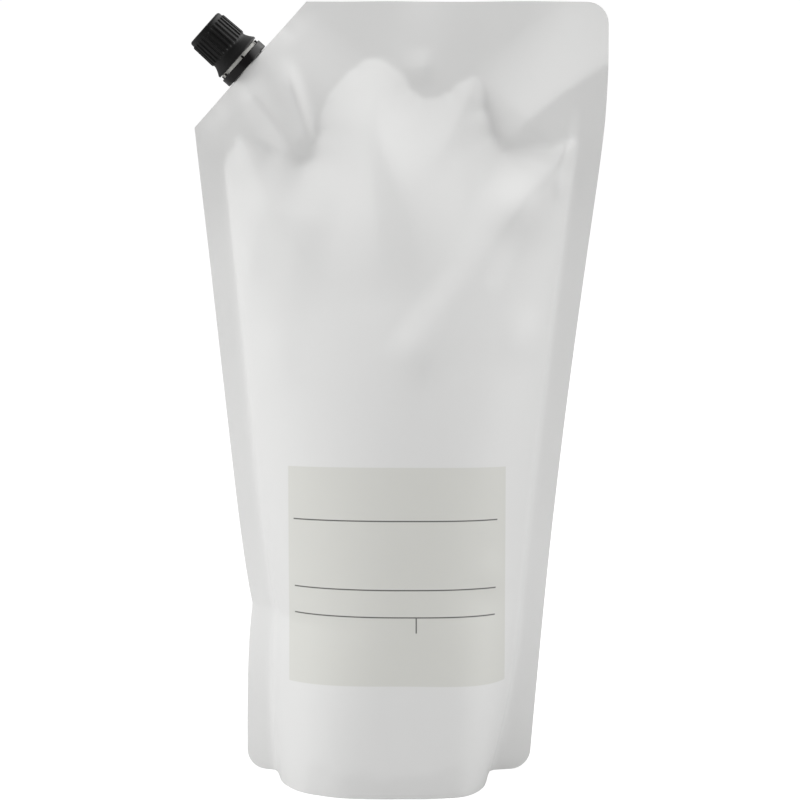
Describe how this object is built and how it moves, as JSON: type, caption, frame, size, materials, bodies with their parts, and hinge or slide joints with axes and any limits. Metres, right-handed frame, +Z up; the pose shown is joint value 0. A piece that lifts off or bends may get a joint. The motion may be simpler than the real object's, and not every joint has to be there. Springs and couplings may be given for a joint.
{
  "type": "liquid soap refill pouch",
  "caption": "Filled stand-up film pouch with a folded base, a cut top corner, a welded pour spout, a tamper ring and a ribbed screw cap.",
  "frame": {"origin": "middle of the base, on the floor plane", "axes": "+Z up, -Y out of the front panel, +X to the right of the front, away from the spout"},
  "size_m": [0.1482, 0.0744, 0.282],
  "materials": {
    "film": "white satin laminate film with a pale grey printed label field and thin dark rules",
    "spout_plastic": "natural white moulded polyethylene",
    "ring_plastic": "glossy black moulded polyethylene",
    "cap_plastic": "satin black moulded polyethylene"
  },
  "bodies": {
    "pack": {"pouch": "film", "spout": "spout_plastic"},
    "ring": {"tamper_ring": "ring_plastic"},
    "cap": {"cap": "cap_plastic"}
  },
  "joints": [
    {"name": "cap_turn", "type": "hinge", "parent": "pack", "child": "ring", "pos_m": [-0.04933, 0, 0.25874], "axis": [-0.7443, 0, 0.6679], "range_deg": [0, 540]},
    {"name": "cap_lift", "type": "slide", "parent": "ring", "child": "cap", "axis": [-0.7443, 0, 0.6679], "range_m": [0, 0.0045]}
  ],
  "couplings": [
    {"joint": "cap_lift", "follows": "cap_turn", "m_per_rad": 0.000477}
  ]
}
